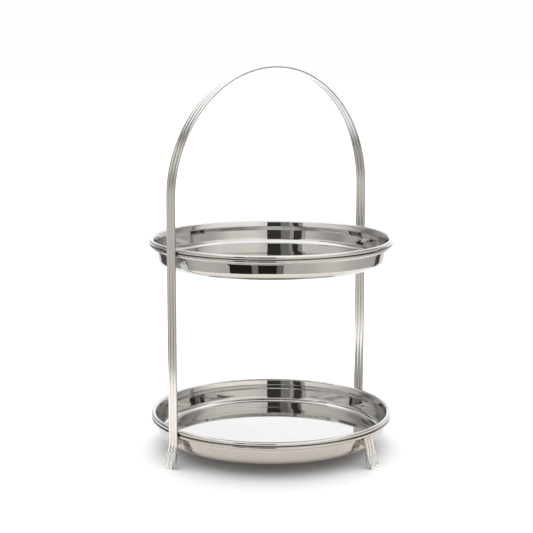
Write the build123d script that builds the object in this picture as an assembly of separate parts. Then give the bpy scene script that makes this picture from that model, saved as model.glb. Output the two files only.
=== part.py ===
from build123d import *
import os
from math import acos, cos, degrees, radians, sin, sqrt, tan

# Two-tier serving stand. Millimetres, +Z up. The origin is on the ground, on the axis of the two trays, and
# the handle's arch lies in the XZ plane.

# ---- driving dimensions ----
RIM_RADIUS = 130.0          # outermost line of the rolled rim
RIM_HALF_HEIGHT = 4.3       # middle of the rim up to its top, or down to its bottom
ROLL_RADIUS = 2.3           # outside of each of the two rolls that the rim ends in, one above the other
FLARE_TOP_RADIUS = 3.3      # inside turn from the flare onto the top of the rim
FLARE_LEAN = 18.0           # lean of the flare under the rim's top, degrees
SHEET = 0.9                 # tray sheet
TRAY_DEPTH = 22.3           # middle of the rim down to the underside of the ring round the floor
WALL_TOP_RADIUS = 124.15    # outside of the upright neck between the wall and the flare
WALL_TOP_DROP = 6.6         # middle of the rim down to the top of the leaning wall
WALL_LEAN = 10.2            # lean of the wall, degrees
CORNER_RADIUS = 7.8         # outside of the corner between wall and ring
RING_WIDTH = 1.2            # flat part of the ring round the floor
STEP_BEND = 2.7             # outside of the bend from the ring up to the floor
STEP_CREST = 2.6            # outside of the bend onto the floor
STEP_TURN = 60.0            # steepest slope of the step between ring and floor, degrees

LOWER_RIM_HEIGHT = 35.4     # ground to the middle of the lower tray's rim
TIER_PITCH = 188.3          # middle of the lower rim to middle of the upper one

STRAP_WIDTH = 14.0
STRAP_THICKNESS = 2.2       # over the ribs
RIB_COUNT = 3
GROOVE_DEPTH = 0.4          # between two ribs, on each face
EDGE_BULGE = 0.4            # rounding out of the strip's two edges
RIM_GAP = 0.1               # between the rim's outermost line and the strap
ARCH_SPRING_HEIGHT = 275.5  # ground to where the uprights turn into the half circle
SPLAY_START_HEIGHT = 23.6   # ground to the bend where a strap end starts to lean outwards
STRAP_SPLAY = 11.5          # lean of the strap's ends from the vertical, degrees
SPLAY_BEND_RADIUS = 12.0
STRIP_END_HEIGHT = 6.5      # metal ends this high above the ground, inside the foot cap

LEG_AZIMUTH = -79.3         # the near leg, turned from +X; the rear leg is opposite
LEG_SPLAY = 14.8
LEG_TOP_DROP = 4.8          # middle of the lower rim down to the middle of the leg's top end
LEG_TOP_RADIUS = 128.2      # axis of the trays to the middle of the leg's top end

CAP_LENGTH = 15.6           # along the leg, from the ground to the cap's lip
CAP_NECK_LENGTH = 4.4       # the upper part, which only just clears the strip
CAP_LIP = (15.5, 3.9)       # width and depth round the strip at the lip
CAP_FLARE = 1.8             # run of the flare under the neck
CAP_SHOULDER = (16.9, 5.2)  # under the flare, where the boot's long sides begin
CAP_SOLE = (18.2, 6.4)      # at the ground
CAP_CORNER = 1.3            # rounding of the cap's long edges
SOLE_CORNER = 1.0           # rounding of its lower edge
SOLE_CUT = 3.0              # the boot's sides are run on this far, then cut level with the ground
CAP_CLEARANCE = 0.05        # between the cap's pocket and the strip, each way

SPACER_WIDTH = 4.0
SPACER_HEIGHT = 5.0
SPACER_TOP_DROP = 7.0       # middle of the rim down to the spacer's top
WEDGE_WIDTH = 5.0
WEDGE_HEIGHT = 6.0
WEDGE_TOP_DROP = 7.6

# ---- worked out from them ----
UPPER_RIM_HEIGHT = LOWER_RIM_HEIGHT + TIER_PITCH
ROLL_CENTRE = RIM_RADIUS - ROLL_RADIUS
STRAP_INNER = RIM_RADIUS + RIM_GAP
STRAP_MIDDLE = STRAP_INNER + STRAP_THICKNESS / 2
STRAP_FOOT_RADIUS = STRAP_MIDDLE + SPLAY_START_HEIGHT * tan(radians(STRAP_SPLAY))
LEG_FOOT_RADIUS = LEG_TOP_RADIUS + (LOWER_RIM_HEIGHT - LEG_TOP_DROP) * tan(radians(LEG_SPLAY))
CORNER_HEIGHT = CORNER_RADIUS - TRAY_DEPTH
WALL_RUN = -WALL_TOP_DROP - CORNER_HEIGHT
WALL_SPREAD = CORNER_RADIUS / cos(radians(WALL_LEAN)) + WALL_RUN * tan(radians(WALL_LEAN))
CORNER_CENTRE = WALL_TOP_RADIUS - WALL_SPREAD


def on_circle(centre, radius, angle):
    """The point of a circle at an angle in degrees."""
    return (centre[0] + radius * cos(radians(angle)), centre[1] + radius * sin(radians(angle)))


def draw_floor(offset):
    """Draw floor, step and ring of one face of the sheet; offset 0 is the inside. Returns both ends."""
    bend = (CORNER_CENTRE - RING_WIDTH, STEP_BEND - TRAY_DEPTH)
    crest = on_circle(bend, STEP_BEND + STEP_CREST - SHEET, -90 - STEP_TURN)
    bend_size = STEP_BEND - SHEET + offset
    crest_size = STEP_CREST - offset
    start = (0, crest[1] + crest_size)
    end = (CORNER_CENTRE, bend[1] - bend_size)
    Line(start, (crest[0], start[1]))
    CenterArc(crest, crest_size, 90 - STEP_TURN, STEP_TURN)
    CenterArc(bend, bend_size, -90 - STEP_TURN, STEP_TURN)
    Line((bend[0], end[1]), end)
    return start, end


def draw_wall(offset):
    """Draw corner and wall of one face of the sheet. Returns the wall's top."""
    corner = (CORNER_CENTRE, CORNER_HEIGHT)
    corner_size = CORNER_RADIUS - SHEET + offset
    top = (WALL_TOP_RADIUS - SHEET + offset, -WALL_TOP_DROP)
    CenterArc(corner, corner_size, -90, 90 - WALL_LEAN)
    Line(on_circle(corner, corner_size, -WALL_LEAN), top)
    return top


def draw_rim(offset, wall_top):
    """Draw neck, flare and both rolls of one face of the sheet, on from the wall's top. Returns its end."""
    turn = (ROLL_CENTRE, RIM_HALF_HEIGHT - FLARE_TOP_RADIUS)
    turn_size = FLARE_TOP_RADIUS - offset
    flare_end = on_circle(turn, turn_size, 180 - FLARE_LEAN)
    flare_height = (flare_end[0] - wall_top[0]) / tan(radians(FLARE_LEAN))
    Polyline(wall_top, (wall_top[0], flare_end[1] - flare_height), flare_end)
    CenterArc(turn, turn_size, 90, 90 - FLARE_LEAN)
    rise = RIM_HALF_HEIGHT - ROLL_RADIUS
    roll_size = ROLL_RADIUS - offset
    waist = sqrt(ROLL_RADIUS ** 2 - rise ** 2) - offset
    meet = degrees(acos(waist / roll_size))
    CenterArc((ROLL_CENTRE, rise), roll_size, -meet, 90 + meet)
    CenterArc((ROLL_CENTRE, -rise), roll_size, -90, 90 + meet)
    if offset:
        web = rise - roll_size * sin(radians(meet))
        Line((ROLL_CENTRE + waist, web), (ROLL_CENTRE + waist, -web))
    return (ROLL_CENTRE, -rise - roll_size)


def make_tray(rim_height):
    """A spun dish: raised floor, ring, rounded corner, leaning wall, flare, and a rim rolled outwards."""
    with BuildSketch(Plane.XZ) as section:
        with BuildLine():
            inside = draw_floor(0.0)[0]
            outside = draw_floor(SHEET)[0]
            Line(inside, outside)
            Line(draw_rim(0.0, draw_wall(0.0)), draw_rim(SHEET, draw_wall(SHEET)))
        make_face()
    return Pos(0, 0, rim_height) * revolve(section.sketch, Axis.Z)


def strip_section(plane):
    """The strip's section on a plane: rounded ribs side by side on both faces, across the plane's x."""
    crown = STRAP_THICKNESS / 2
    root = crown - GROOVE_DEPTH
    rib_width = (STRAP_WIDTH - 2 * EDGE_BULGE) / RIB_COUNT
    lines = [(i - RIB_COUNT / 2) * rib_width for i in range(RIB_COUNT + 1)]
    with BuildSketch(plane) as section:
        with BuildLine():
            for left, right in zip(lines, lines[1:]):
                middle = (left + right) / 2
                ThreePointArc((left, root), (middle, crown), (right, root))
                ThreePointArc((left, -root), (middle, -crown), (right, -root))
            for edge in (lines[0], lines[-1]):
                outwards = EDGE_BULGE if edge > 0 else -EDGE_BULGE
                ThreePointArc((edge, root), (edge + outwards, 0), (edge, -root))
        make_face()
    return section.sketch


def leg_axis(lean, foot_radius):
    """A plane at the foot of a leg that leans outwards in +X: z up the leg, x across the strip."""
    up = (-sin(radians(lean)), 0, cos(radians(lean)))
    return Plane(origin=(foot_radius, 0, 0), x_dir=(0, 1, 0), z_dir=up)


def make_handle_strap():
    """One strip: foot, upright, half circle, upright, foot."""
    foot = STRAP_FOOT_RADIUS - STRIP_END_HEIGHT * tan(radians(STRAP_SPLAY))
    right = (STRAP_MIDDLE, 0, ARCH_SPRING_HEIGHT)
    top = (0, 0, ARCH_SPRING_HEIGHT + STRAP_MIDDLE)
    left = (-STRAP_MIDDLE, 0, ARCH_SPRING_HEIGHT)
    with BuildLine() as path:
        for side in (1, -1):
            FilletPolyline(
                (side * foot, 0, STRIP_END_HEIGHT),
                (side * STRAP_MIDDLE, 0, SPLAY_START_HEIGHT),
                (side * STRAP_MIDDLE, 0, ARCH_SPRING_HEIGHT),
                radius=SPLAY_BEND_RADIUS,
            )
        ThreePointArc(right, top, left)
    wire = path.wire()
    start = wire @ 0
    end = Plane(origin=start, x_dir=(0, 1, 0), z_dir=wire % 0)
    return sweep(strip_section(end), path=wire)


def make_leg():
    """A short straight strip whose top is tucked under the rim, leaning outwards in +X."""
    axis = leg_axis(LEG_SPLAY, LEG_FOOT_RADIUS)
    start = STRIP_END_HEIGHT / cos(radians(LEG_SPLAY))
    end = (LOWER_RIM_HEIGHT - LEG_TOP_DROP) / cos(radians(LEG_SPLAY))
    return extrude(strip_section(axis.offset(start)), amount=end - start)


def cap_outline(axis, height, size):
    """The cap's outline across the leg at a height up the leg."""
    with BuildSketch(axis.offset(height)) as outline:
        RectangleRounded(size[0], size[1], CAP_CORNER)
    return outline.sketch


def make_cap(lean, foot_radius):
    """A clear boot: a neck round the strip, a flare, and a flat sole on the ground."""
    axis = leg_axis(lean, foot_radius)
    below = -SOLE_CUT
    spread = SOLE_CUT / (CAP_LENGTH - CAP_NECK_LENGTH - CAP_FLARE)
    under = tuple(sole + (sole - shoulder) * spread for sole, shoulder in zip(CAP_SOLE, CAP_SHOULDER))
    outlines = [
        cap_outline(axis, CAP_LENGTH, CAP_LIP),
        cap_outline(axis, CAP_LENGTH - CAP_NECK_LENGTH, CAP_LIP),
        cap_outline(axis, CAP_LENGTH - CAP_NECK_LENGTH - CAP_FLARE, CAP_SHOULDER),
        cap_outline(axis, below, under),
    ]
    body = split(loft(outlines, ruled=True), bisect_by=Plane.XY, keep=Keep.TOP)
    sole = body.faces().sort_by(Axis.Z)[0]
    body = fillet(sole.edges(), SOLE_CORNER)
    bottom = STRIP_END_HEIGHT / cos(radians(lean)) - CAP_CLEARANCE
    with BuildSketch(axis.offset(bottom)) as pocket:
        Rectangle(STRAP_WIDTH + 2 * CAP_CLEARANCE, STRAP_THICKNESS + 2 * CAP_CLEARANCE)
    return body - extrude(pocket.sketch, amount=CAP_LENGTH)


def tray_envelope():
    """Everything inside the outer face of a tray's wall, with the rim's middle at height 0."""
    with BuildSketch(Plane.XZ) as section:
        with BuildLine():
            start = draw_floor(SHEET)[0]
            Polyline(draw_wall(SHEET), (0, -WALL_TOP_DROP), start)
        make_face()
    return revolve(section.sketch, Axis.Z)


def make_block(width, height, top_drop, lean, face_radius):
    """A brazed block on +X from the tray's wall out to a strip's inner face, rim's middle at height 0."""
    reach = RIM_RADIUS - CORNER_CENTRE
    block = Pos(RIM_RADIUS, 0, -top_drop - height / 2) * Box(2 * reach, width, height)
    strip_face = Plane(
        origin=(face_radius, 0, -top_drop),
        x_dir=(0, 1, 0),
        z_dir=(cos(radians(lean)), 0, sin(radians(lean))),
    )
    return split(block, bisect_by=strip_face, keep=Keep.BOTTOM) - tray_envelope()


def leg_inner_radius(drop):
    """Where a leg's inner face is, at a drop below the middle of the lower rim."""
    middle = LEG_FOOT_RADIUS - (LOWER_RIM_HEIGHT - drop) * tan(radians(LEG_SPLAY))
    return middle - STRAP_THICKNESS / 2 / cos(radians(LEG_SPLAY))


def main():
    turned = {"left": Rot(0, 0, 180), "right": Rot(0, 0, 0)}
    turned_legs = {"front": Rot(0, 0, LEG_AZIMUTH), "rear": Rot(0, 0, LEG_AZIMUTH + 180)}
    tiers = {"lower": LOWER_RIM_HEIGHT, "upper": UPPER_RIM_HEIGHT}
    parts = {f"{tier}_tray": make_tray(height) for tier, height in tiers.items()}
    parts["handle_strap"] = make_handle_strap()
    spacer = make_block(SPACER_WIDTH, SPACER_HEIGHT, SPACER_TOP_DROP, 0.0, STRAP_INNER)
    leg_face = leg_inner_radius(WEDGE_TOP_DROP)
    wedge = make_block(WEDGE_WIDTH, WEDGE_HEIGHT, WEDGE_TOP_DROP, LEG_SPLAY, leg_face)
    strap_cap = make_cap(STRAP_SPLAY, STRAP_FOOT_RADIUS)
    leg_cap = make_cap(LEG_SPLAY, LEG_FOOT_RADIUS)
    for side, turn in turned.items():
        parts[f"foot_cap_{side}"] = turn * strap_cap
        for tier, height in tiers.items():
            parts[f"{tier}_spacer_{side}"] = turn * Pos(0, 0, height) * spacer
    for side, turn in turned_legs.items():
        parts[f"{side}_leg"] = turn * make_leg()
        parts[f"{side}_leg_wedge"] = turn * Pos(0, 0, LOWER_RIM_HEIGHT) * wedge
        parts[f"foot_cap_{side}"] = turn * leg_cap
    os.makedirs("parts", exist_ok=True)
    for name, part in parts.items():
        export_step(part, f"parts/{name}.step")


main()
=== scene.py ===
import math

import bpy
from mathutils import Matrix, Vector


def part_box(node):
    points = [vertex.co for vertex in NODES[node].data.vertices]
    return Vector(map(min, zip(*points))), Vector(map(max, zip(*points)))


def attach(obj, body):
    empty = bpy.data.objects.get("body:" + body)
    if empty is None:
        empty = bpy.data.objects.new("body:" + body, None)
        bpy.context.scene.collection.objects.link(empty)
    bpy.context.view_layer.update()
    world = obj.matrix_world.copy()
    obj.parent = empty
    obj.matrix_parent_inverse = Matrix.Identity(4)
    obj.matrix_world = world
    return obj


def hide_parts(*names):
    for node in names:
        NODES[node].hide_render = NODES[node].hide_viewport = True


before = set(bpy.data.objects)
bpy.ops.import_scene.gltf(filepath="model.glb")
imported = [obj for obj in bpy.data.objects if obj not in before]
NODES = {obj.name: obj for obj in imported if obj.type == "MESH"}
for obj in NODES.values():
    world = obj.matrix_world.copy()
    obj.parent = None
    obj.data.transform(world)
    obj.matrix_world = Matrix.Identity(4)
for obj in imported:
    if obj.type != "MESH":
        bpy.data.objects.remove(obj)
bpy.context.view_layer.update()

# ---- sizes, in metres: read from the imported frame, or named here ----
TRAYS = ("upper_tray", "lower_tray")
RIM_RADIUS = (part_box("upper_tray")[1].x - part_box("upper_tray")[0].x) / 2
SHEET = 0.0009
RIM_HALF = 0.0043               # half the height of the rolled rim
ROLL_RADIUS = 0.0023            # outside of each of its two rolls
FLARE_LEAN = math.radians(18.0)  # lean of the flare between the neck and the rim
FLARE_TOP_RADIUS = 0.0033       # inside of the turn from the flare to the top of the rim
WALL_TOP_RADIUS = 0.12415       # outside of the wall under the neck
WALL_TOP_DROP = 0.0066          # rim's middle down to the top of the leaning wall
WALL_LEAN = math.radians(10.2)
CORNER_RADIUS = 0.0078          # outside of the corner at the foot of the wall
RING_WIDTH = 0.0012             # flat ring under the corner
STEP_RADII = (0.0027, 0.0026)   # outside of the ring's inner bend, inside of the floor's edge
STEP_TURN = math.radians(60.0)
LATHE_STEPS = 384

STRAP_WIDTH = 0.014
STRAP_THICKNESS = 0.0022
RIBS = 3                        # on each face
GROOVE_DEPTH = 0.00055
EDGE_TRIM = 0.0005              # width taken by the strip's rounded edge
RIM_GAP = 0.0001                # between the trays' rims and the strap
SPLAY_START = 0.0236            # height where the strap's middle line turns outwards
STRAP_SPLAY = math.radians(11.5)
SPLAY_BEND = 0.012              # radius of that turn
STRIP_END = 0.0065              # height of the strip's ends over the ground, inside the caps

LEG_AZIMUTH = math.radians(-79.3)
LEG_SPLAY = math.radians(14.8)
LEG_TOP_RADIUS = 0.1282         # from the stand's axis to the middle of the leg's top
LEG_TOP_DROP = 0.0048           # lower rim's middle down to the leg's top
LOWER_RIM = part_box("lower_tray")[1].z - RIM_HALF

CAP_LENGTH = 0.0156
CAP_LIP = (0.0155, 0.0039)      # width and depth at the top
CAP_SHOULDER = (0.0169, 0.0052)  # draws the flare between lip and sole
CAP_SOLE = (0.0182, 0.0064)
SOLE_ROUND = (0.0016, 0.0020)   # how far the sole's rounded edge reaches in and up
POCKET = (STRAP_WIDTH + 0.0001, STRAP_THICKNESS + 0.0001)
FLUTE_DEPTH = 0.0003
FLUTE_WIDTH = 0.0006
FLUTE_RISE = 0.003              # the flutes fade in over this height
LEVEL_RISE = 0.006              # the cap's rings are level at the sole and square to the leg from here up

STRAP_MIDDLE = RIM_RADIUS + RIM_GAP + STRAP_THICKNESS / 2
ARCH_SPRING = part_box("handle_strap")[1].z - STRAP_MIDDLE - STRAP_THICKNESS / 2
STRAP_FOOT = STRAP_MIDDLE + SPLAY_START * math.tan(STRAP_SPLAY)
LEG_FOOT = LEG_TOP_RADIUS + (LOWER_RIM - LEG_TOP_DROP) * math.tan(LEG_SPLAY)

# ---- the view ----
VIEW_TURN = math.radians(-40.1)     # the camera's own frame, turned into the part's frame
CAMERA_BACK = 1.4447
CAMERA_HEIGHT = 0.4444
CAMERA_PITCH = 0.1707
CAMERA_YAW = 0.0034
CAMERA_LENS = 92.667

# ---- the studio ----
CARD_DISTANCE = 6.0
TABLE_RADIUS = 0.4735
TABLE_OPENING = math.radians(142.0)     # the table ends at its radius this far round from the camera's side
TABLE_BACK = 3.0                        # and runs back this far behind the stand
FLOOR_REACH = 12.0
TABLE_ALBEDO = 0.84                     # scales the table's tint in reflections
WHITE_FROM = 80                         # degrees round from which the table's reflection is white, not warm
WARM = (1.0, 0.95, 0.89)
SEEN_LEVEL = 0.99                       # white behind the stand, seen directly
THROUGH_LEVEL = 1.0                     # and seen through the caps
AROUND_LEVEL = 1.19                     # light on the floor from all round
BOX_LEVEL = 2.0                         # and what the soft box adds where it is strongest
BOX_HEIGHT = math.radians(62.0)
TOP_LEVEL = 1.5                         # reflected level overhead
# Reflected levels round the studio, as (degrees from the camera's side towards the right, level).
# From 0 to 10 degrees up:
LOW_ROOM = (
    (-180, 1.35), (-166, 1.30), (-155, 0.60), (-146, 0.35), (-134, 0.40), (-125, 0.30), (-117, 0.17),
    (-108, 0.25), (-98, 0.60), (-87, 0.60), (-76, 0.42), (-62, 0.48), (-45, 0.68), (-30, 0.75),
    (6, 0.75), (18, 0.88), (42, 0.92), (54, 0.72), (68, 0.56), (100, 0.54), (113, 0.34), (121, 0.50),
    (132, 0.85), (146, 0.85), (157, 1.30), (180, 1.35),
)
# From 18 to 40 degrees up:
MIDDLE_ROOM = (
    (-180, 1.35), (-158, 1.10), (-146, 0.62), (-128, 0.70), (-114, 0.42), (-100, 0.55), (-88, 0.85),
    (-74, 1.02), (-40, 1.08), (8, 1.10), (16, 1.25), (62, 1.24), (78, 1.02), (88, 0.60), (102, 0.48),
    (114, 0.30), (124, 0.75), (134, 1.05), (155, 1.30), (180, 1.35),
)
# From 2 to 8.5 degrees down:
HORIZON = (
    (-180, 1.30), (-150, 0.95), (-128, 0.80), (-104, 0.68), (-95, 0.48), (-86, 0.50), (-66, 0.80),
    (-43, 0.82), (6, 0.78), (40, 0.92), (60, 1.05), (110, 1.10), (150, 1.25), (180, 1.30),
)
# Further down, past the edge of the table:
UNDER_ROOM = (
    (-180, 1.00), (-145, 0.95), (-142, 0.10), (-129, 0.10), (-125, 0.38), (-108, 0.45), (-94, 0.52),
    (-80, 0.68), (-62, 0.70), (-46, 0.62), (14, 0.64), (40, 0.70), (58, 0.84), (72, 0.80), (84, 0.70),
    (112, 0.60), (127, 0.58), (129, 0.08), (138, 0.08), (140, 0.95), (180, 1.00),
)


# ================================ mesh helpers ================================
def make_mesh(name, points, faces, smooth=True):
    mesh = bpy.data.meshes.new(name)
    mesh.from_pydata([tuple(p) for p in points], [], faces)
    mesh.validate()
    mesh.update()
    mesh.polygons.foreach_set("use_smooth", [smooth] * len(mesh.polygons))
    return mesh


def make_piece(name, mesh, material, slot, *nodes):
    """A piece of the object, riding on the one body, in place of its CAD nodes."""
    piece = bpy.data.objects.new(name, mesh)
    bpy.context.scene.collection.objects.link(piece)
    piece.data.materials.append(material)
    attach(piece, "root")
    if nodes:
        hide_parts(*nodes)
    return piece


def arc(centre, radius, start, end, count):
    """Points of an arc, both ends included; radius may be a pair for an ellipse."""
    wide, high = radius if isinstance(radius, tuple) else (radius, radius)
    angles = [start + (end - start) * i / count for i in range(count + 1)]
    return [(centre[0] + wide * math.cos(a), centre[1] + high * math.sin(a)) for a in angles]


def straight(start, end, count):
    """Points along a line, the last one left out."""
    return [tuple(s + (e - s) * i / count for s, e in zip(start, end)) for i in range(count)]


# ================================ trays ================================
def tray_face(offset, depth):
    """One face of the sheet from the axis to the rim's end, rim's middle at height 0.

    Offset 0 is the inside and offset SHEET the outside.
    """
    quarter = math.pi / 2
    wall_top = (WALL_TOP_RADIUS - SHEET + offset, -WALL_TOP_DROP)
    wall_run = depth - WALL_TOP_DROP - CORNER_RADIUS
    spread = CORNER_RADIUS / math.cos(WALL_LEAN) + wall_run * math.tan(WALL_LEAN)
    corner = (WALL_TOP_RADIUS - spread, CORNER_RADIUS - depth)
    corner_size = CORNER_RADIUS - SHEET + offset
    bend_size = STEP_RADII[0] - SHEET + offset
    crest_size = STEP_RADII[1] - offset
    bend = (corner[0] - RING_WIDTH, STEP_RADII[0] - depth)
    reach = STEP_RADII[0] + STEP_RADII[1] - SHEET
    crest = (bend[0] - reach * math.sin(STEP_TURN), bend[1] - reach * math.cos(STEP_TURN))
    points = straight((0.0, crest[1] + crest_size), (crest[0], crest[1] + crest_size), 36)
    points += arc(crest, crest_size, quarter, quarter - STEP_TURN, 8)
    points += arc(bend, bend_size, -quarter - STEP_TURN, -quarter, 8)
    points += arc(corner, corner_size, -quarter, -WALL_LEAN, 18)
    points += straight(points.pop(), wall_top, 8)
    turn = (RIM_RADIUS - ROLL_RADIUS, RIM_HALF - FLARE_TOP_RADIUS)
    turn_size = FLARE_TOP_RADIUS - offset
    flare_end = arc(turn, turn_size, 2 * quarter - FLARE_LEAN, quarter, 12)
    neck_top = (wall_top[0], flare_end[0][1] - (flare_end[0][0] - wall_top[0]) / math.tan(FLARE_LEAN))
    points += straight(wall_top, neck_top, 4) + straight(neck_top, flare_end[0], 6) + flare_end
    roll_size = ROLL_RADIUS - offset
    roll = (RIM_RADIUS - ROLL_RADIUS, RIM_HALF - ROLL_RADIUS)
    waist = math.sqrt(ROLL_RADIUS ** 2 - roll[1] ** 2) - offset
    meet = math.acos(max(waist, 0.0001) / roll_size)
    points += arc(roll, roll_size, quarter, -meet, 18)
    lower = arc((roll[0], -roll[1]), roll_size, meet, -quarter, 18)
    return points + (lower if offset else lower[1:])


def lathe(name, outline, rim):
    """A closed surface turned about Z; the outline starts and ends on the axis, its height 0 at the rim.

    Its UV map "profile" holds the radius and the height over the rim's middle.
    """
    points = [(0.0, 0.0, outline[0][1] + rim)]
    ring = [(r, z + rim) for r, z in outline[1:-1]]
    for step in range(LATHE_STEPS):
        angle = 2 * math.pi * step / LATHE_STEPS
        c, s = math.cos(angle), math.sin(angle)
        points += [(r * c, r * s, z) for r, z in ring]
    points.append((0.0, 0.0, outline[-1][1] + rim))
    count = len(ring)
    last = len(points) - 1
    faces = []
    for step in range(LATHE_STEPS):
        here = 1 + step * count
        there = 1 + (step + 1) % LATHE_STEPS * count
        faces.append((0, here, there))
        faces += [(here + i, here + i + 1, there + i + 1, there + i) for i in range(count - 1)]
        faces.append((here + count - 1, last, there + count - 1))
    mesh = make_mesh(name, points, faces)
    profile = mesh.uv_layers.new(name="profile")
    for loop in mesh.loops:
        x, y, z = mesh.vertices[loop.vertex_index].co
        profile.data[loop.index].uv = (math.hypot(x, y), z - rim)
    return mesh


def make_trays(material):
    for node in TRAYS:
        low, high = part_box(node)
        rim = high.z - RIM_HALF
        depth = rim - low.z
        outline = tray_face(0.0, depth) + tray_face(SHEET, depth)[::-1]
        mesh = lathe(node + "_skin", outline, rim)
        mesh.flip_normals()
        make_piece(node + "_polished", mesh, material, "polished_steel", node)


# ================================ ribbed strip ================================
def strip_section():
    """The strip's outline as (across, out): rounded ribs on both faces and rounded edges."""
    crown = STRAP_THICKNESS / 2
    rib = STRAP_WIDTH / RIBS
    face = []
    steps = 14
    for i in range(RIBS * steps + 1):
        across = -STRAP_WIDTH / 2 + rib * i / steps
        swell = abs(math.sin(math.pi * i / steps)) ** 0.8
        out = crown - GROOVE_DEPTH * (1 - swell)
        face.append((across, out))
    edge = STRAP_WIDTH / 2 - EDGE_TRIM
    middle = [(a, o) for a, o in face if abs(a) < edge]
    right = arc((edge, 0.0), (EDGE_TRIM, middle[-1][1]), math.pi / 2, -math.pi / 2, 10)[1:-1]
    return middle + right + [(a, -o) for a, o in middle[::-1]] + [(-a, -o) for a, o in right]


def sweep(name, section, stations):
    """A closed strip through stations of (middle, across direction, out direction, distance along)."""
    points, faces = [], []
    count = len(section)
    for middle, across, out, _ in stations:
        points += [middle + across * a + out * o for a, o in section]
    for i in range(len(stations) - 1):
        for j in range(count):
            k = (j + 1) % count
            faces.append((i * count + j, i * count + k, (i + 1) * count + k, (i + 1) * count + j))
    faces.append(tuple(range(count))[::-1])
    faces.append(tuple(range((len(stations) - 1) * count, len(stations) * count)))
    mesh = make_mesh(name, points, faces)
    mesh.flip_normals()
    uv = mesh.uv_layers.new(name="strip")
    for loop in mesh.loops:
        station, place = divmod(loop.vertex_index, count)
        uv.data[loop.index].uv = (section[place][0], stations[station][3])
    for polygon in list(mesh.polygons)[-2:]:
        polygon.use_smooth = False
    return mesh


def strap_stations():
    """Stations from one foot, up the right, over the arch and down the left; the arch lies in XZ."""
    bend_run = SPLAY_BEND * math.tan(STRAP_SPLAY / 2)
    lean = Vector((-math.sin(STRAP_SPLAY), 0, math.cos(STRAP_SPLAY)))
    foot = Vector((STRAP_FOOT, 0, 0)) + lean * (STRIP_END / lean.z)
    bend = Vector((STRAP_MIDDLE, 0, SPLAY_START))
    start = bend - lean * bend_run
    side = [(foot.lerp(start, i / 8), STRAP_SPLAY) for i in range(8)]
    centre = Vector((STRAP_MIDDLE + SPLAY_BEND, 0, SPLAY_START + bend_run))
    for i in range(9):
        angle = STRAP_SPLAY * (1 - i / 8)
        side.append((centre + SPLAY_BEND * Vector((-math.cos(angle), 0, -math.sin(angle))), angle))
    for i in range(1, 40):
        side.append((Vector((STRAP_MIDDLE, 0, centre.z + (ARCH_SPRING - centre.z) * i / 40)), 0.0))
    arch = []
    for i in range(145):
        angle = math.pi * i / 144
        middle = Vector((STRAP_MIDDLE * math.cos(angle), 0, ARCH_SPRING + STRAP_MIDDLE * math.sin(angle)))
        arch.append((middle, angle))
    other_side = [(Vector((-p.x, 0, p.z)), math.pi - a) for p, a in side[::-1]]
    whole = side + arch + other_side
    stations, along = [], 0.0
    for i, (middle, angle) in enumerate(whole):
        along += (middle - whole[i - 1][0]).length if i else 0.0
        stations.append((middle, Vector((0, 1, 0)), Vector((math.cos(angle), 0, math.sin(angle))), along))
    return stations


def leg_frame(azimuth, lean, foot):
    """The foot of a leg on the ground, and its directions up the leg, across it and out of it."""
    turn = Matrix.Rotation(azimuth, 3, "Z")
    up = turn @ Vector((-math.sin(lean), 0, math.cos(lean)))
    out = turn @ Vector((math.cos(lean), 0, math.sin(lean)))
    return turn @ Vector((foot, 0, 0)), up, turn @ Vector((0, 1, 0)), out


def make_strips():
    section = strip_section()
    # Each strip steel takes a rib colour and a darker colour of painted shade for its grooves.
    steel = satin_steel("satin_strip", (0.80, 0.79, 0.775), (0.38, 0.375, 0.365))
    strap = sweep("handle_strap_ribbed", section, strap_stations())
    make_piece("handle_strap_ribbed", strap, steel, "satin_steel", "handle_strap")
    # The legs take a lighter, warmer copy of the strap's steel: painted light, with a painted warm
    # reflection of the table in its tint.
    steel = satin_steel("leg_strip_painted_lighter", (0.98, 0.95, 0.89), (0.40, 0.37, 0.33))
    for node, azimuth in (("front_leg", LEG_AZIMUTH), ("rear_leg", LEG_AZIMUTH + math.pi)):
        foot, up, across, out = leg_frame(azimuth, LEG_SPLAY, LEG_FOOT)
        start = STRIP_END / up.z
        end = (LOWER_RIM - LEG_TOP_DROP) / up.z
        steps = 14
        places = [start + (end - start) * i / steps for i in range(steps + 1)]
        stations = [(foot + up * place, across, out, place) for place in places]
        mesh = sweep(node + "_ribbed", section, stations)
        make_piece(node + "_ribbed", mesh, steel, "satin_steel", node)


# ================================ clear caps ================================
def rounded_outline(size, corner, steps=6):
    """A rounded rectangle as (across, out), the same number of points for every size.

    The long sides have extra points, for the flutes.
    """
    wide, deep = size[0] / 2 - corner, size[1] / 2 - corner
    points = []
    for quarter, (x, y) in enumerate(((wide, deep), (-wide, deep), (-wide, -deep), (wide, -deep))):
        points += arc((x, y), corner, quarter * math.pi / 2, (quarter + 1) * math.pi / 2, steps)
        if quarter in (0, 2):
            across, out = points[-1]
            points += straight((across, out), (-across, out), 24)[1:]
    return points


def flute(across, size):
    """How deep the cap's two shallow flutes are at a place across its face; the pocket has none."""
    if size[1] <= POCKET[1]:
        return 0.0
    return FLUTE_DEPTH * math.exp(-((abs(across) - STRAP_WIDTH / RIBS / 2) / FLUTE_WIDTH) ** 2)


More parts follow.
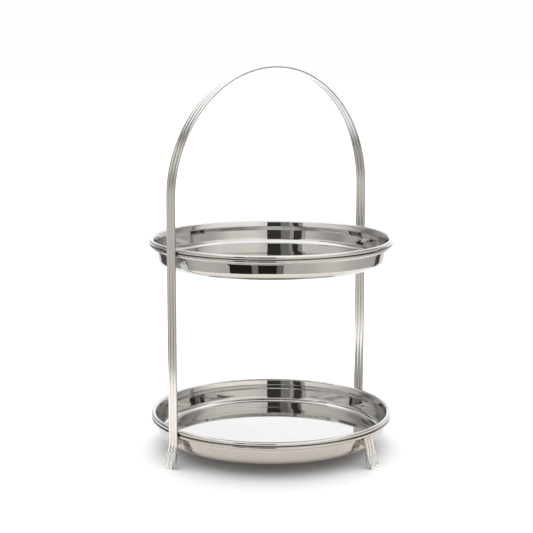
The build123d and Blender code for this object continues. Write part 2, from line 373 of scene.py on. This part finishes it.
def cap_rings():
    """(height up the leg, size, corner) from the sole up to the lip, then down the pocket."""
    def smaller(size, by):
        return size[0] - by, size[1] - by

    inwards, upwards = SOLE_ROUND
    rings = []
    for i in range(9):
        angle = math.pi / 2 * i / 8
        inset = inwards * (1 - math.sin(angle))
        rings.append((upwards * (1 - math.cos(angle)), smaller(CAP_SOLE, 2 * inset), 0.0022))
    widths = (CAP_SOLE, CAP_SHOULDER, CAP_LIP)
    flare_run = CAP_LENGTH - 0.0014 - upwards
    for i in range(1, 25):
        t = i / 24
        weights = ((1 - t) ** 2, 2 * t * (1 - t), t ** 2)
        size = tuple(sum(w * size[k] for w, size in zip(weights, widths)) for k in range(2))
        rings.append((upwards + flare_run * t, size, 0.0022 - 0.0007 * t))
    rings.append((CAP_LENGTH - 0.0007, CAP_LIP, 0.0015))
    rings.append((CAP_LENGTH - 0.0002, smaller(CAP_LIP, 0.0002), 0.0014))
    rings.append((CAP_LENGTH, smaller(CAP_LIP, 0.0006), 0.0012))
    for height in (CAP_LENGTH, CAP_LENGTH - 0.0002, STRIP_END + 0.0002):
        rings.append((height, POCKET, 0.0009))
    rings.append((STRIP_END, smaller(POCKET, 0.0003), 0.0008))
    return rings


def make_cap(name, node, azimuth, lean, foot_radius, material):
    foot, up, across, out = leg_frame(azimuth, lean, foot_radius)
    points, faces = [], []
    rings = cap_rings()
    for height, size, corner in rings:
        for a, o in rounded_outline(size, corner):
            o -= math.copysign(flute(a, size), o) * min(height / FLUTE_RISE, 1.0)
            point = foot + across * a + out * o + up * (height / up.z)
            point.z = height + (point.z - height) * min(height / LEVEL_RISE, 1.0)
            points.append(point)
    count = len(rounded_outline(rings[0][1], rings[0][2]))
    for i in range(len(rings) - 1):
        for j in range(count):
            k = (j + 1) % count
            faces.append((i * count + j, i * count + k, (i + 1) * count + k, (i + 1) * count + j))
    faces.append(tuple(range(count))[::-1])
    faces.append(tuple(range((len(rings) - 1) * count, len(rings) * count)))
    mesh = make_mesh(name, points, faces)
    make_piece(name, mesh, material, "clear_cap", node)


def make_caps(material):
    spots = {
        "right": (0.0, STRAP_SPLAY, STRAP_FOOT),
        "left": (math.pi, STRAP_SPLAY, STRAP_FOOT),
        "front": (LEG_AZIMUTH, LEG_SPLAY, LEG_FOOT),
        "rear": (LEG_AZIMUTH + math.pi, LEG_SPLAY, LEG_FOOT),
    }
    for side, (azimuth, lean, foot_radius) in spots.items():
        make_cap("clear_boot_" + side, "foot_cap_" + side, azimuth, lean, foot_radius, material)


# ================================ materials ================================
class Nodes:
    """A material's or world's node tree with short calls for its nodes and links."""

    def __init__(self, owner):
        owner.use_nodes = True
        self.tree = owner.node_tree
        self.tree.nodes.clear()

    def feed(self, sockets, values):
        """Link or set each socket, by what its value is."""
        for socket, value in zip(sockets, values):
            if isinstance(value, bpy.types.NodeSocket):
                self.tree.links.new(value, socket)
            else:
                socket.default_value = value

    def add(self, kind, inputs=None, **settings):
        node = self.tree.nodes.new(kind)
        for key, value in settings.items():
            setattr(node, key, value)
        for key, value in (inputs or {}).items():
            self.feed([node.inputs[key]], [value])
        return node

    def math(self, operation, *values):
        node = self.add("ShaderNodeMath", operation=operation)
        self.feed(node.inputs, values)
        return node.outputs[0]

    def noise(self, vector, scale, detail=3.0, rough=0.5):
        inputs = {"Vector": vector, "Scale": scale, "Detail": detail, "Roughness": rough}
        return self.add("ShaderNodeTexNoise", inputs).outputs["Fac"]

    def span(self, value, low, high, start=0.0, end=1.0):
        inputs = {"Value": value, "From Min": start, "From Max": end, "To Min": low, "To Max": high}
        return self.add("ShaderNodeMapRange", inputs).outputs["Result"]

    def combine(self, x, y, z):
        node = self.add("ShaderNodeCombineXYZ")
        self.feed(node.inputs, (x, y, z))
        return node.outputs[0]

    def bump(self, height, strength, distance, normal=None):
        inputs = {"Height": height, "Strength": strength, "Distance": distance}
        if normal is not None:
            inputs["Normal"] = normal
        return self.add("ShaderNodeBump", inputs).outputs["Normal"]

    def mix(self, amount, first, second):
        """Two plain values, mixed by an amount."""
        node = self.add("ShaderNodeMix", data_type="FLOAT")
        self.feed((node.inputs[0], node.inputs[2], node.inputs[3]), (amount, first, second))
        return node.outputs[0]

    def blend(self, amount, first, second):
        """Two colours, mixed by an amount."""
        node = self.add("ShaderNodeMix", data_type="RGBA")
        colours = [(*c, 1.0) if isinstance(c, tuple) else c for c in (first, second)]
        self.feed((node.inputs[0], node.inputs[6], node.inputs[7]), (amount, *colours))
        return node.outputs[2]

    def ramp(self, turn, stops):
        """A level that changes with an angle between -180 and 180 degrees, straight from stop to stop.

        Colours in a ramp end at 1, so levels are halved there and doubled after it.
        """
        node = self.add("ShaderNodeValToRGB", {"Fac": self.span(turn, 0.0, 1.0, -180.0, 180.0)})
        elements = node.color_ramp.elements
        for angle, _ in stops[1:-1]:
            elements.new((angle + 180) / 360)
        for element, (_, level) in zip(elements, stops):
            element.color = (level / 2, level / 2, level / 2, 1.0)
        return self.math("MULTIPLY", node.outputs["Color"], 2.0)


def polished_steel():
    """Mirror-polished stainless: faint spin rings, hairline scratches, soft smudges, painted shade in the
    crease between the rim's two rolls.
    """
    material = bpy.data.materials.new("polished_steel")
    n = Nodes(material)
    place = n.add("ShaderNodeTexCoord").outputs["Object"]
    xyz = n.add("ShaderNodeSeparateXYZ", {"Vector": place})
    x, y, z = xyz.outputs
    radius = n.math("SQRT", n.math("ADD", n.math("MULTIPLY", x, x), n.math("MULTIPLY", y, y)))
    angle = n.math("ARCTAN2", y, x)
    rings = n.noise(n.combine(radius, n.math("MULTIPLY", angle, 0.0004), z), 900.0, 2.0)
    hairs = n.noise(n.combine(radius, n.math("MULTIPLY", angle, 0.004), z), 5200.0, 3.0, 0.6)
    waves = n.noise(place, 26.0, 1.0)
    smudge = n.noise(place, 38.0, 4.0, 0.6)
    normal = n.bump(rings, 0.02, 0.0002)
    normal = n.bump(waves, 0.03, 0.001, normal)
    rough = n.math("ADD", n.span(smudge, 0.012, 0.05, 0.35, 0.7), n.span(hairs, 0.0, 0.02, 0.45, 0.8))
    colour = n.blend(n.span(smudge, 0.0, 1.0, 0.3, 0.7), (0.585, 0.582, 0.577), (0.615, 0.612, 0.607))
    profile = n.add("ShaderNodeUVMap", uv_map="profile").outputs["UV"]
    reach, rise = n.add("ShaderNodeSeparateXYZ", {"Vector": profile}).outputs[:2]
    # Painted shade: a near-black line in the colour along the crease where the rim's two rolls meet, made a
    # little uneven by the smudges.
    painted_crease_shade = n.span(n.math("ABSOLUTE", rise), 1.0, 0.0, 0.0003, 0.0014)
    painted_crease_shade = n.math("MULTIPLY", painted_crease_shade, n.span(reach, 0.0, 1.0, RIM_RADIUS - 0.0016, RIM_RADIUS - 0.0013))
    colour = n.blend(n.math("MULTIPLY", painted_crease_shade, n.span(smudge, 0.80, 1.0)), colour, (0.045, 0.040, 0.036))
    inputs = {"Base Color": colour, "Metallic": 1.0, "Roughness": rough, "Normal": normal}
    shader = n.add("ShaderNodeBsdfPrincipled", inputs)
    n.add("ShaderNodeOutputMaterial", {"Surface": shader.outputs[0]})
    return material


def satin_steel(name, ribs, groove_shade_colour):
    """Ribbed strip: painted shade in its grooves, drawn lines along its length, slight colour drift, softer
    mirror.
    """
    material = bpy.data.materials.new(name)
    n = Nodes(material)
    strip = n.add("ShaderNodeUVMap", uv_map="strip").outputs["UV"]
    across, along = n.add("ShaderNodeSeparateXYZ", {"Vector": strip}).outputs[:2]
    drawn = n.noise(n.combine(across, n.math("MULTIPLY", along, 0.002), 0.0), 2600.0, 2.0, 0.5)
    place = n.add("ShaderNodeTexCoord").outputs["Object"]
    cloud = n.noise(place, 45.0, 3.0)
    rib = STRAP_WIDTH / RIBS
    # Painted shade: the grooves between the ribs are darkened in colour, a little unevenly under a soft
    # cloud.
    fold = n.math("PINGPONG", n.math("ADD", across, STRAP_WIDTH / 2), rib / 2)
    groove_shade_mask = n.span(fold, 1.0, 0.0, rib * 0.02, rib * 0.17)
    groove_shade_mask = n.math("MULTIPLY", groove_shade_mask, n.span(cloud, 0.75, 1.0, 0.3, 0.7))
    colour = n.blend(n.span(drawn, 0.0, 1.0, 0.3, 0.7), tuple(0.94 * c for c in ribs), ribs)
    colour = n.blend(groove_shade_mask, colour, groove_shade_colour)
    rough = n.math("ADD", n.span(cloud, 0.13, 0.19, 0.3, 0.7), n.span(drawn, -0.02, 0.03, 0.3, 0.7))
    normal = n.bump(drawn, 0.06, 0.00005)
    inputs = {"Base Color": colour, "Metallic": 1.0, "Roughness": rough, "Normal": normal}
    shader = n.add("ShaderNodeBsdfPrincipled", inputs)
    n.add("ShaderNodeOutputMaterial", {"Surface": shader.outputs[0]})
    return material


def brazed_steel():
    """The hidden spacers and wedges: cast-looking steel with a duller, grainy finish."""
    material = bpy.data.materials.new("brazed_steel")
    n = Nodes(material)
    place = n.add("ShaderNodeTexCoord").outputs["Object"]
    grain = n.noise(place, 1800.0, 4.0, 0.6)
    heat = n.noise(place, 300.0, 2.0)
    colour = n.blend(n.span(heat, 0.0, 1.0, 0.35, 0.65), (0.50, 0.46, 0.41), (0.62, 0.60, 0.57))
    inputs = {
        "Base Color": colour,
        "Metallic": 1.0,
        "Roughness": n.span(grain, 0.28, 0.42),
        "Normal": n.bump(grain, 0.3, 0.0001),
    }
    shader = n.add("ShaderNodeBsdfPrincipled", inputs)
    n.add("ShaderNodeOutputMaterial", {"Surface": shader.outputs[0]})
    return material


def clear_plastic():
    """Clear soft plastic with a slight haze and faint moulding ripples."""
    material = bpy.data.materials.new("clear_plastic")
    n = Nodes(material)
    place = n.add("ShaderNodeTexCoord").outputs["Object"]
    ripple = n.noise(place, 420.0, 2.0)
    haze = n.noise(place, 900.0, 3.0)
    inputs = {
        "Base Color": n.blend(haze, (0.86, 0.875, 0.90), (0.93, 0.945, 0.965)),
        "Roughness": n.span(haze, 0.10, 0.22),
        "IOR": 1.32,
        "Transmission Weight": 0.88,
        "Normal": n.bump(ripple, 0.20, 0.0004),
    }
    shader = n.add("ShaderNodeBsdfPrincipled", inputs)
    n.add("ShaderNodeOutputMaterial", {"Surface": shader.outputs[0]})
    return material


# ================================ studio ================================
def to_part(x, y, z=0.0):
    """A point of the camera's own frame, x right and y away, in the part's frame."""
    return Matrix.Rotation(VIEW_TURN, 3, "Z") @ Vector((x, y, z))


def glow(name, colour):
    material = bpy.data.materials.new(name)
    n = Nodes(material)
    light = n.add("ShaderNodeEmission", {"Color": (*colour, 1.0), "Strength": 1.0})
    n.add("ShaderNodeOutputMaterial", {"Surface": light.outputs[0]})
    return material


def direction(turn, height):
    """Unit way from the stand, in radians: turn runs from the camera's side to the right, height up."""
    flat = math.cos(height)
    return to_part(flat * math.sin(turn), -flat * math.cos(turn), math.sin(height))


def make_card(name, turns, heights, level):
    """A card far out that shows only in reflections, between two turns and two heights in degrees."""
    across = max(2, math.ceil(abs(turns[1] - turns[0]) / 5))
    up = max(1, math.ceil(abs(heights[1] - heights[0]) / 10))
    points = []
    for j in range(up + 1):
        height = math.radians(heights[0] + (heights[1] - heights[0]) * j / up)
        for i in range(across + 1):
            turn = math.radians(turns[0] + (turns[1] - turns[0]) * i / across)
            points.append(CARD_DISTANCE * direction(turn, height))
    row = across + 1
    faces = [(j * row + i, j * row + i + 1, (j + 1) * row + i + 1, (j + 1) * row + i)
             for j in range(up) for i in range(across)]
    mesh = make_mesh(name, points, faces, smooth=False)
    card = bpy.data.objects.new(name, mesh)
    bpy.context.scene.collection.objects.link(card)
    mesh.materials.append(glow(name, tuple(level * c for c in WARM)))
    card.visible_camera = False
    card.visible_diffuse = False
    card.visible_shadow = False
    card.visible_transmission = False


def table_material(name, mirrored_tint):
    """Matt white table with its own tint in reflections: fine paper tooth over a slight drift of tone."""
    material = bpy.data.materials.new(name)
    n = Nodes(material)
    place = n.add("ShaderNodeTexCoord").outputs["Object"]
    tooth = n.noise(place, 1500.0, 2.0)
    tone = n.noise(place, 3.0, 2.0)
    white = n.blend(tone, (0.740, 0.740, 0.740), (0.755, 0.755, 0.755))
    mirrored = n.add("ShaderNodeLightPath").outputs["Is Glossy Ray"]
    inputs = {
        "Base Color": n.blend(mirrored, white, tuple(c * TABLE_ALBEDO for c in mirrored_tint)),
        "Roughness": 0.9,
        "Specular IOR Level": 0.1,
        "Normal": n.bump(tooth, 0.1, 0.0001),
    }
    shader = n.add("ShaderNodeBsdfPrincipled", inputs)
    n.add("ShaderNodeOutputMaterial", {"Surface": shader.outputs[0]})
    return material


def make_floor():
    """A round table edge in front and to the sides; past it lies floor that the steel doesn't reflect."""
    front = table_material("warm_table", (0.84, 0.775, 0.71))
    sides = table_material("white_table", (0.86, 0.86, 0.86))
    count = 144
    points = [to_part(0.0, 0.0)]
    inner, outer = [], []
    for i in range(count):
        turn = 2 * math.pi * (i + 0.5) / count - math.pi
        reach = TABLE_RADIUS if abs(turn) < TABLE_OPENING else TABLE_BACK
        points += [radius * direction(turn, 0.0) for radius in (reach, FLOOR_REACH)]
    for i in range(count):
        k = (i + 1) % count
        inner.append((0, 1 + 2 * i, 1 + 2 * k))
        outer.append((1 + 2 * i, 2 + 2 * i, 2 + 2 * k, 1 + 2 * k))
    for name, faces in (("table_top", inner), ("floor", outer)):
        top = bpy.data.objects.new(name, make_mesh(name, points, faces, smooth=False))
        bpy.context.scene.collection.objects.link(top)
        top.data.materials.append(front)
        top.data.materials.append(sides)
        for i, polygon in enumerate(top.data.polygons):
            polygon.material_index = int(abs(2 * (i + 1) / count - 1) * 180 > WHITE_FROM)
        top.visible_glossy = name == "table_top"


def room_level(n, turn, height):
    """How bright the studio is by direction, from its turn round the stand and its height, in degrees."""
    low = n.ramp(turn, LOW_ROOM)
    middle = n.ramp(turn, MIDDLE_ROOM)
    level = n.mix(n.span(height, 0.0, 1.0, -11.5, -8.5), n.ramp(turn, UNDER_ROOM), n.ramp(turn, HORIZON))
    level = n.mix(n.span(height, 0.0, 1.0, -2.0, 0.0), level, low)
    level = n.mix(n.span(height, 0.0, 1.0, 10.0, 18.0), level, middle)
    return n.mix(n.span(height, 0.0, 1.0, 40.0, 52.0), level, TOP_LEVEL)


def soft_box(n, x, y, z):
    """Light that falls on the floor: strongest from high up behind the stand, weaker low down all round."""
    way = direction(math.pi, BOX_HEIGHT)
    ahead = n.math("ADD", n.math("MULTIPLY", x, way.x), n.math("MULTIPLY", y, way.y))
    ahead = n.math("MAXIMUM", n.math("ADD", ahead, n.math("MULTIPLY", z, way.z)), 0.0)
    return n.math("ADD", AROUND_LEVEL, n.math("MULTIPLY", BOX_LEVEL, n.math("POWER", ahead, 3.0)))


def make_world():
    """White behind the stand, a soft box for the light, and the studio's room for reflections."""
    world = bpy.data.worlds.new("studio")
    bpy.context.scene.world = world
    n = Nodes(world)
    way = n.add("ShaderNodeTexCoord").outputs["Generated"]
    x, y, z = n.add("ShaderNodeSeparateXYZ", {"Vector": way}).outputs
    height = n.math("MULTIPLY", n.math("ARCSINE", z), math.degrees(1.0))
    turn = n.math("MULTIPLY", n.math("ARCTAN2", y, x), math.degrees(1.0))
    turn = n.math("ADD", turn, 90.0 - math.degrees(VIEW_TURN))
    turn = n.math("WRAP", turn, 180.0, -180.0)
    room = room_level(n, turn, height)
    side = n.math("ABSOLUTE", turn)
    warmth = n.math("MULTIPLY", n.span(side, 1.0, 0.0, 125.0, 145.0), n.span(height, 1.0, 0.0, 36.0, 50.0))
    path = n.add("ShaderNodeLightPath").outputs
    plain = n.mix(path["Is Camera Ray"], soft_box(n, x, y, z), SEEN_LEVEL)
    plain = n.mix(path["Is Transmission Ray"], plain, THROUGH_LEVEL)
    mirror = n.math("MULTIPLY", path["Is Glossy Ray"], n.math("SUBTRACT", 1.0, path["Is Transmission Ray"]))
    level = n.mix(mirror, plain, room)
    colour = n.blend(n.math("MULTIPLY", mirror, warmth), (1.0, 1.0, 1.0), WARM)
    shown = n.add("ShaderNodeBackground", {"Color": colour, "Strength": level})
    n.add("ShaderNodeOutputWorld", {"Surface": shown.outputs[0]})


def make_cards():
    """Dark flags beside the camera and high on the left, and dark doorways that the table's edge clips."""
    make_card("camera_flag", (-10.5, 4.2), (-1, 38), 0.05)
    make_card("camera_stand", (-20, -10.5), (-1, 38), 0.25)
    make_card("between", (-24, -20), (-1, 38), 0.45)
    make_card("side_flag", (-35, -24), (-1, 38), 0.05)
    make_card("high_flag", (-118, -60), (35, 43.5), 0.20)
    make_card("high_corner", (-150, -118), (21, 32), 0.20)
    make_card("flag_top", (-24, 8), (38, 46), 0.75)
    make_card("low_camera_flag", (-13, 5.7), (-60, -11), 0.02)
    make_card("low_side_flag", (-42.5, -19.3), (-60, -11), 0.02)
    make_card("low_between", (-19.3, -13), (-60, -11), 0.25)
    make_card("low_right_edge", (5.7, 12.7), (-60, -11), 0.20)


def make_camera():
    data = bpy.data.cameras.new("view")
    data.lens = CAMERA_LENS
    data.sensor_width = 36.0
    camera = bpy.data.objects.new("view", data)
    bpy.context.scene.collection.objects.link(camera)
    ahead = direction(math.pi + CAMERA_YAW, -CAMERA_PITCH)
    camera.location = to_part(0.0, -CAMERA_BACK, CAMERA_HEIGHT)
    camera.rotation_mode = "QUATERNION"
    camera.rotation_quaternion = ahead.to_track_quat("-Z", "Y")
    bpy.context.scene.camera = camera


def main():
    make_camera()
    make_trays(polished_steel())
    make_strips()
    make_caps(clear_plastic())
    brazed = brazed_steel()
    for name, node in NODES.items():
        if "spacer" in name or "wedge" in name:
            node.data.materials.clear()
            node.data.materials.append(brazed)
    make_floor()
    make_world()
    make_cards()
    scene = bpy.context.scene
    scene.view_settings.view_transform = "Standard"
    scene.cycles.max_bounces = 16
    scene.cycles.glossy_bounces = 10
    scene.cycles.transmission_bounces = 12


main()
